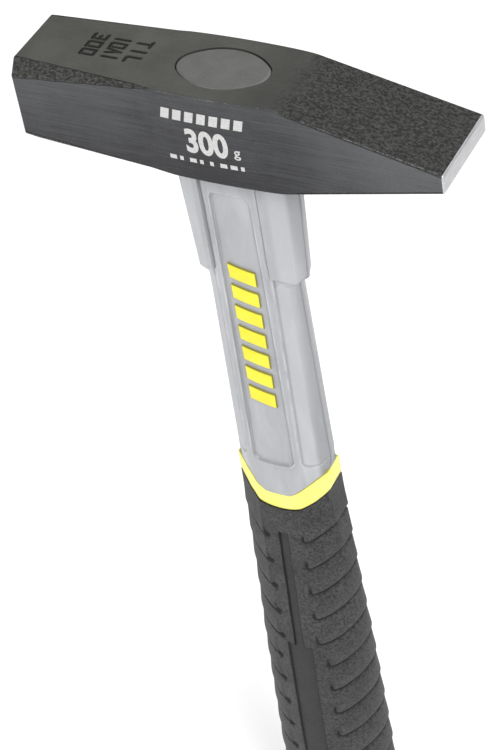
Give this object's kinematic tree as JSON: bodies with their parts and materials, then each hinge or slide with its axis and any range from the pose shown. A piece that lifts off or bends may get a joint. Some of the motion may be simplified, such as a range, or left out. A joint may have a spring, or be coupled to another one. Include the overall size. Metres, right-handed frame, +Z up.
{
  "type": "cross pein hammer",
  "caption": "Cross pein engineer's hammer with a forged steel head, a moulded fibreglass handle, a coloured band and a ribbed soft grip.",
  "frame": {"origin": "middle of the overall box at the level of the butt's lowest point; the handle's axis stands 4 mm towards -X of it, because the pein reaches further than the face", "axes": "+Z up the handle from the butt to the head; +X along the head towards the pein, so the striking face looks along -X; +Y across the thin side of the head, away from the side with the first panel"},
  "size_m": [0.105, 0.0248, 0.3],
  "materials": {
    "head_steel": "satin dark coating over forged steel, bare ground pein edge",
    "plug_grey": "smooth satin",
    "resin": "cast",
    "fibreglass": "pultruded",
    "jacket_grey": "moulded satin",
    "accent_yellow": "moulded satin",
    "grip_black": "fine textured soft thermoplastic",
    "strip_black": "smooth satin"
  },
  "bodies": {
    "root": {"head": "head_steel", "eye_plug": "plug_grey", "eye_resin": "resin", "fibreglass_core": "fibreglass", "handle_jacket": "jacket_grey", "accent_band": "accent_yellow", "grip_sleeve": "grip_black", "grip_strip_front": "strip_black", "grip_strip_back": "strip_black", "accent_bar_front_1": "accent_yellow", "accent_bar_front_2": "accent_yellow", "accent_bar_front_3": "accent_yellow", "accent_bar_front_4": "accent_yellow", "accent_bar_front_5": "accent_yellow", "accent_bar_front_6": "accent_yellow", "accent_bar_front_7": "accent_yellow", "accent_bar_back_1": "accent_yellow", "accent_bar_back_2": "accent_yellow", "accent_bar_back_3": "accent_yellow", "accent_bar_back_4": "accent_yellow", "accent_bar_back_5": "accent_yellow", "accent_bar_back_6": "accent_yellow", "accent_bar_back_7": "accent_yellow"}
  },
  "joints": []
}
